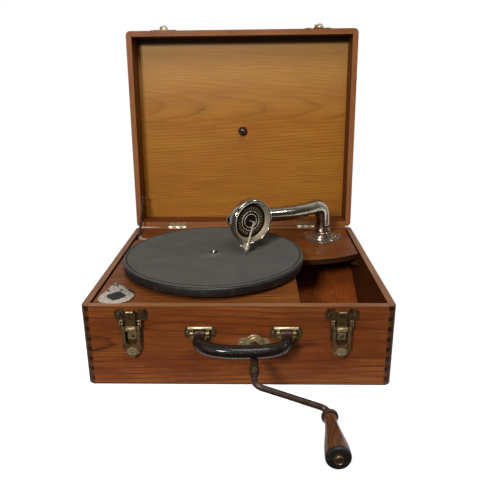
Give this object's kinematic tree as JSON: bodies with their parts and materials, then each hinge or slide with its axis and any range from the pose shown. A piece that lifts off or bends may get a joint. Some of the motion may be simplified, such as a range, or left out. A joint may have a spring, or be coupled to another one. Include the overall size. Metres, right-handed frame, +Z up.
{
  "type": "portable gramophone",
  "caption": "Wind-up portable gramophone in a finger-jointed wooden case, open, with turntable, swivelling tonearm, horn chamber, spring motor, latches, handle and crank.",
  "frame": {"origin": "centre of the flat underside of the case", "axes": "+X to the right seen from the front, +Y from the front to the hinges at the rear, +Z up"},
  "size_m": [0.375, 0.561, 0.4391],
  "materials": {
    "oak_case": "oiled oak, worn",
    "oak_inner": "unfinished",
    "pine_panel": "varnished",
    "turned_wood": "varnished",
    "nickel_plate": "worn nickel plate",
    "latch_bronze": "tarnished",
    "brass": "polished and worn",
    "dark_steel": "browned",
    "bright_steel": "drawn",
    "black_enamel": "semi-gloss",
    "grey_felt": "matt",
    "black_leather": "waxed",
    "mica": "satin",
    "dark_bronze": "blackened"
  },
  "bodies": {
    "case": {"case_front": "oak_case", "case_rear": "oak_case", "case_left": "oak_case", "case_right": "oak_case", "case_bottom": "oak_inner", "motor_board": "oak_case", "board_cleats": "oak_inner", "horn_partition": "oak_inner", "horn_floor": "oak_case", "hinge_case_leaves": "brass", "stay_stud": "dark_steel", "latch_plates": "latch_bronze", "handle_caps": "brass", "crank_escutcheon": "latch_bronze", "tonearm_flange": "nickel_plate", "needle_cup": "dark_steel", "motor_top_plate": "bright_steel", "motor_bottom_plate": "bright_steel"},
    "lid": {"lid_front_rail": "oak_case", "lid_rear_rail": "oak_case", "lid_left_rail": "oak_case", "lid_right_rail": "oak_case", "lid_panel": "pine_panel", "record_stud": "dark_steel", "latch_keepers": "latch_bronze", "hinge_lid_leaves": "brass", "stay_pivot": "dark_steel"},
    "stay": {"lid_stay": "dark_steel"},
    "left_lever": {"latch_lever_left": "latch_bronze"},
    "right_lever": {"latch_lever_right": "latch_bronze"},
    "left_hook": {"latch_hook_left": "latch_bronze"},
    "right_hook": {"latch_hook_right": "latch_bronze"},
    "handle": {"handle_grip": "black_leather", "handle_ends": "dark_steel"},
    "winder": {"winding_shaft": "bright_steel"},
    "crank": {"crank_rod": "dark_steel", "crank_washer": "brass"},
    "crank_knob": {"crank_grip": "turned_wood"},
    "turntable": {"platter": "black_enamel", "platter_felt": "grey_felt", "turntable_spindle": "nickel_plate"},
    "arm": {"tonearm_collar": "nickel_plate", "tonearm_tube": "nickel_plate"},
    "sound_box": {"soundbox_neck": "nickel_plate", "soundbox_shell": "nickel_plate", "soundbox_face": "dark_bronze", "diaphragm": "mica", "stylus_bar": "nickel_plate", "needle": "bright_steel"},
    "chuck_screw": {"needle_screw": "nickel_plate"},
    "cup_cover": {"needle_cup_cover": "nickel_plate"},
    "brake": {"brake_lever": "nickel_plate"},
    "barrel": {"spring_barrel": "brass", "mainspring": "dark_steel"},
    "arbor": {"winding_arbor": "bright_steel"},
    "intermediate": {"intermediate_gear": "brass"},
    "governor": {"governor_shaft": "bright_steel", "governor_weights": "brass"},
    "regulator": {"regulator_lever": "dark_steel"}
  },
  "joints": [
    {"name": "lid_hinge", "type": "hinge", "parent": "case", "child": "lid", "pos_m": [0, 0.1635, 0.1081], "axis": [1, 0, 0], "range_deg": [0, 70]},
    {"name": "stay_turn", "type": "hinge", "parent": "lid", "child": "stay", "pos_m": [-0.1765, 0.17827, 0.15735], "axis": [1, 0, 0], "range_deg": [-35, 0]},
    {"name": "left_latch_open", "type": "hinge", "parent": "case", "child": "left_lever", "pos_m": [-0.127, -0.1675, 0.087], "axis": [-1, 0, 0], "range_deg": [0, 100]},
    {"name": "left_hook_turn", "type": "hinge", "parent": "left_lever", "child": "left_hook", "pos_m": [-0.127, -0.1675, 0.08], "axis": [-1, 0, 0], "range_deg": [-100, 0]},
    {"name": "right_latch_open", "type": "hinge", "parent": "case", "child": "right_lever", "pos_m": [0.1235, -0.1675, 0.087], "axis": [-1, 0, 0], "range_deg": [0, 100]},
    {"name": "right_hook_turn", "type": "hinge", "parent": "right_lever", "child": "right_hook", "pos_m": [0.1235, -0.1675, 0.08], "axis": [-1, 0, 0], "range_deg": [-100, 0]},
    {"name": "handle_swing", "type": "hinge", "parent": "case", "child": "handle", "pos_m": [0.0065, -0.1685, 0.075], "axis": [-1, 0, 0], "range_deg": [0, 75]},
    {"name": "crank_wind", "type": "hinge", "parent": "case", "child": "winder", "pos_m": [0.02, -0.1625, 0.06], "axis": [0, -1, 0], "continuous": true},
    {"name": "crank_withdraw", "type": "slide", "parent": "winder", "child": "crank", "axis": [0, -1, 0], "range_m": [0, 0.07]},
    {"name": "crank_grip_spin", "type": "hinge", "parent": "crank", "child": "crank_knob", "pos_m": [0.09799, -0.268, 0.03161], "axis": [0, -1, 0], "continuous": true},
    {"name": "platter_spin", "type": "hinge", "parent": "case", "child": "turntable", "pos_m": [-0.038, -0.018, 0.11], "axis": [0, 0, 1], "continuous": true},
    {"name": "barrel_turn", "type": "hinge", "parent": "case", "child": "barrel", "pos_m": [0.02, -0.04, 0.02], "axis": [0, 0, 1], "continuous": true},
    {"name": "intermediate_turn", "type": "hinge", "parent": "case", "child": "intermediate", "pos_m": [-0.00813, 0.00468, 0.02], "axis": [0, 0, 1], "continuous": true},
    {"name": "governor_spin", "type": "hinge", "parent": "case", "child": "governor", "pos_m": [-0.0602, -0.018, 0.0325], "axis": [0, 1, 0], "continuous": true},
    {"name": "arbor_turn", "type": "hinge", "parent": "case", "child": "arbor", "pos_m": [0.02, -0.04, 0.05], "axis": [0, 0, 1], "continuous": true},
    {"name": "arm_swing", "type": "hinge", "parent": "case", "child": "arm", "pos_m": [0.1305, 0.107, 0.118], "axis": [0, 0, 1], "range_deg": [-8, 42]},
    {"name": "sound_box_flip", "type": "hinge", "parent": "arm", "child": "sound_box", "pos_m": [0.0035, 0.0015, 0.1705], "axis": [-0.8387, -0.5446, 0], "range_deg": [0, 100]},
    {"name": "needle_screw_turn", "type": "hinge", "parent": "sound_box", "child": "chuck_screw", "pos_m": [0.00979, -0.02971, 0.13646], "axis": [-0.793, -0.515, 0.3256], "range_deg": [0, 360]},
    {"name": "cup_cover_swing", "type": "hinge", "parent": "case", "child": "cup_cover", "pos_m": [-0.15993, -0.09952, 0.107], "axis": [0, 0, 1], "range_deg": [0, 70]},
    {"name": "brake_swing", "type": "hinge", "parent": "case", "child": "brake", "pos_m": [-0.14831, 0.09231, 0.106], "axis": [0, 0, 1], "range_deg": [0, 12]},
    {"name": "regulator_turn", "type": "hinge", "parent": "case", "child": "regulator", "pos_m": [-0.0802, 0.043, 0.044], "axis": [0, 0, 1], "range_deg": [0, 6]}
  ],
  "couplings": [
    {"joint": "stay_turn", "follows": "lid_hinge", "ratio": -0.5},
    {"joint": "left_hook_turn", "follows": "left_latch_open", "ratio": -1},
    {"joint": "right_hook_turn", "follows": "right_latch_open", "ratio": -1},
    {"joint": "barrel_turn", "follows": "platter_spin", "ratio": 0.044643},
    {"joint": "intermediate_turn", "follows": "platter_spin", "ratio": -0.25},
    {"joint": "governor_spin", "follows": "platter_spin", "ratio": -12},
    {"joint": "arbor_turn", "follows": "crank_wind", "ratio": 0.29167}
  ]
}
